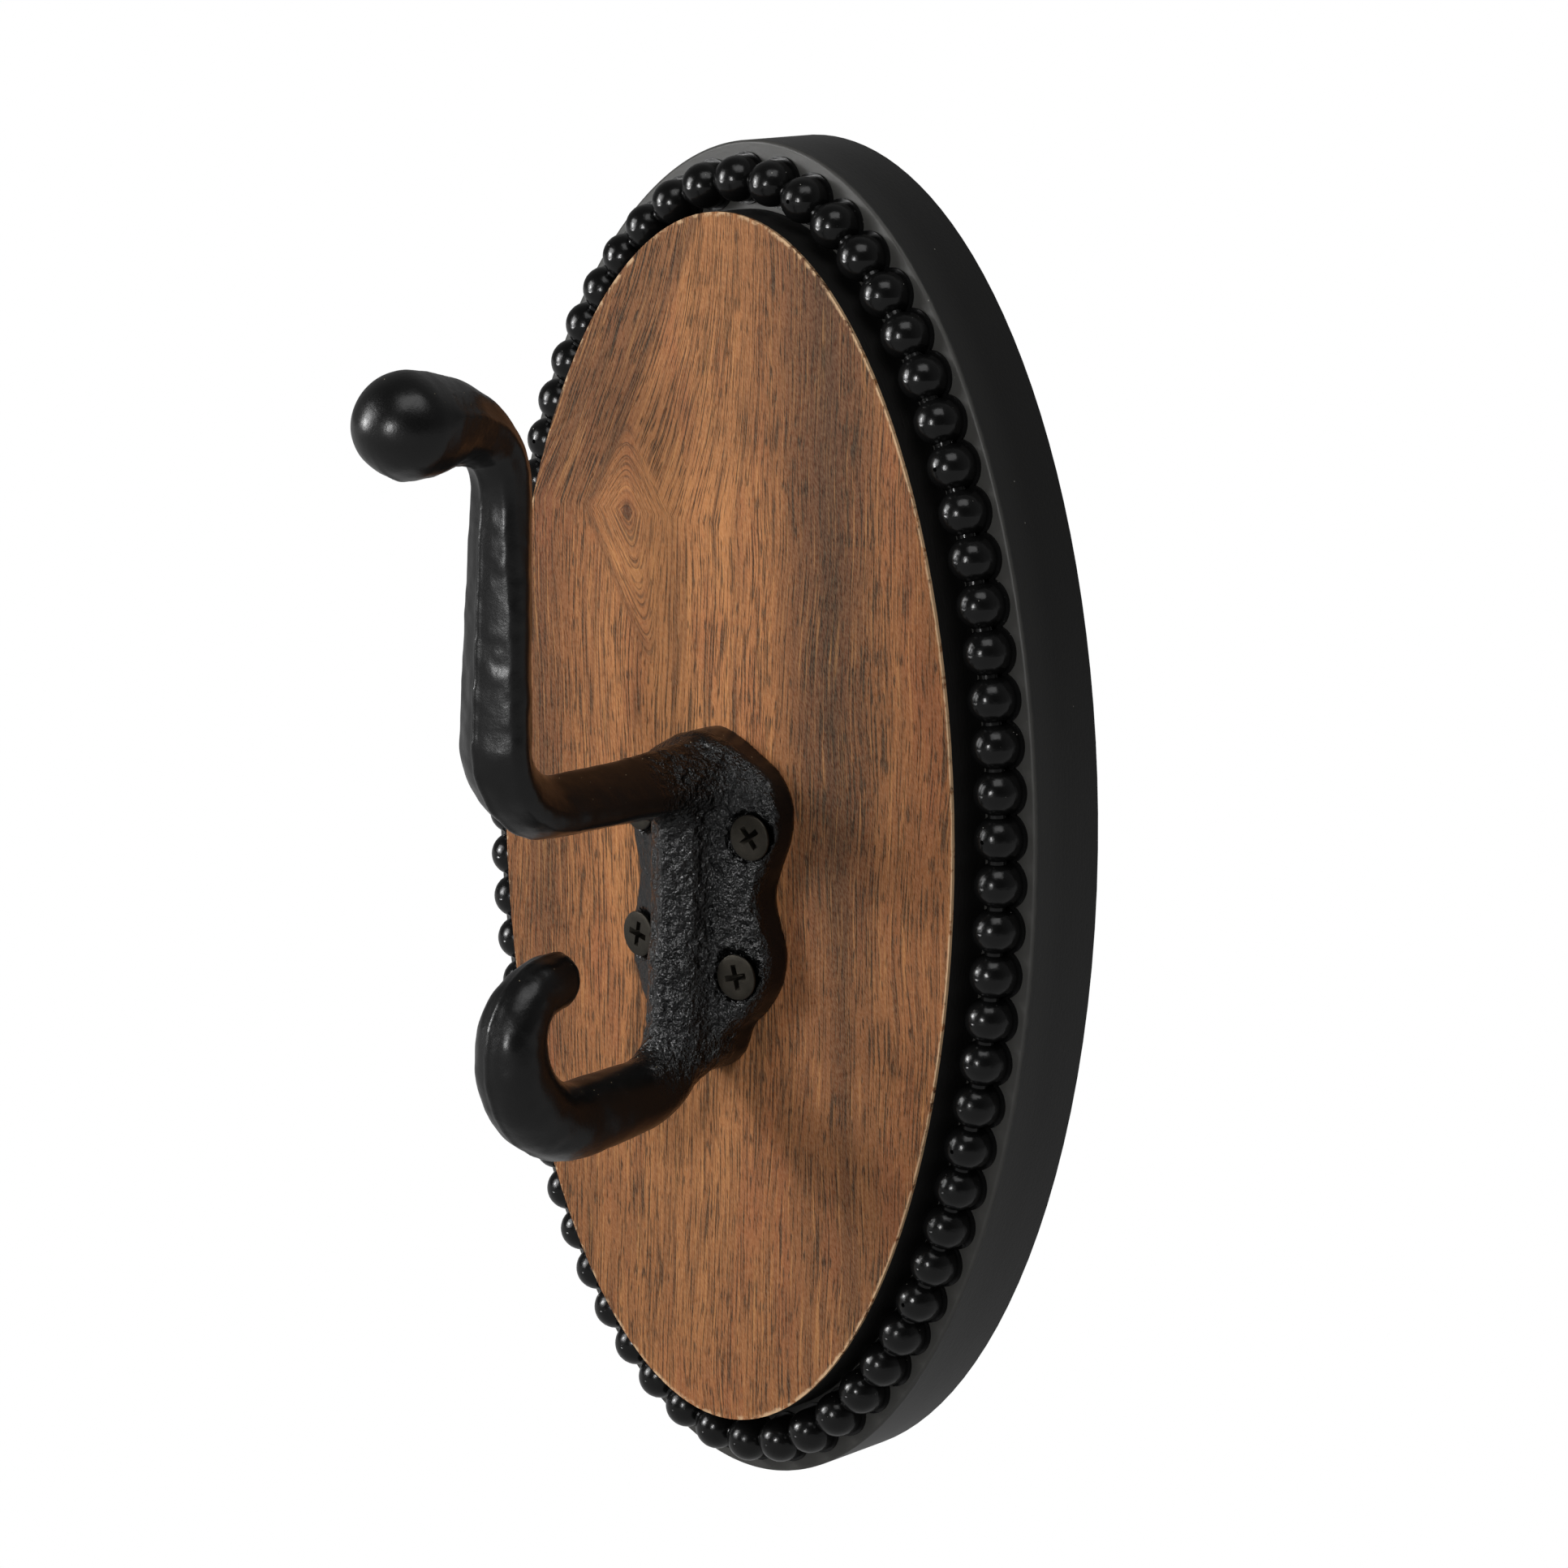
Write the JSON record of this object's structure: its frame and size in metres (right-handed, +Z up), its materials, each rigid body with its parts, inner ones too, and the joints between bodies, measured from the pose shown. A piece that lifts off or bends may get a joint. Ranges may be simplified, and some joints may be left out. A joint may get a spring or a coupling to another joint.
{
  "type": "wall hook plaque",
  "caption": "Oval black-edged wooden wall plaque with a beaded trim, a veneered raised panel and a cast iron double coat hook.",
  "frame": {"origin": "centre of the board's flat back face, on the wall", "axes": "+Z up, +X to the right of a person facing the plaque, +Y into the wall, so the hook stands out along -Y"},
  "size_m": [0.1314, 0.1115, 0.2442],
  "materials": {
    "board_paint": "satin black paint",
    "trim_paint": "satin black",
    "core_paint": "matt black paint",
    "veneer": "open-grained satin veneer",
    "hook_iron": "satin black over a rough casting",
    "screw_steel": "blackened steel",
    "brad_steel": "black",
    "hanger_steel": "zinc plated",
    "hanger_screw_steel": "zinc plated"
  },
  "bodies": {
    "root": {"backing_board": "board_paint", "bead_trim": "trim_paint", "panel_core": "core_paint", "panel_veneer": "veneer", "hook_casting": "hook_iron", "trim_brad_1": "brad_steel", "trim_brad_2": "brad_steel", "trim_brad_3": "brad_steel", "trim_brad_4": "brad_steel", "trim_brad_5": "brad_steel", "trim_brad_6": "brad_steel", "trim_brad_7": "brad_steel", "trim_brad_8": "brad_steel", "hook_screw_upper_right": "screw_steel", "hook_screw_upper_left": "screw_steel", "hook_screw_lower_right": "screw_steel", "hook_screw_lower_left": "screw_steel", "upper_hanger_plate": "hanger_steel", "upper_hanger_screw_top": "hanger_screw_steel", "upper_hanger_screw_bottom": "hanger_screw_steel", "lower_hanger_plate": "hanger_steel", "lower_hanger_screw_top": "hanger_screw_steel", "lower_hanger_screw_bottom": "hanger_screw_steel"}
  },
  "joints": []
}
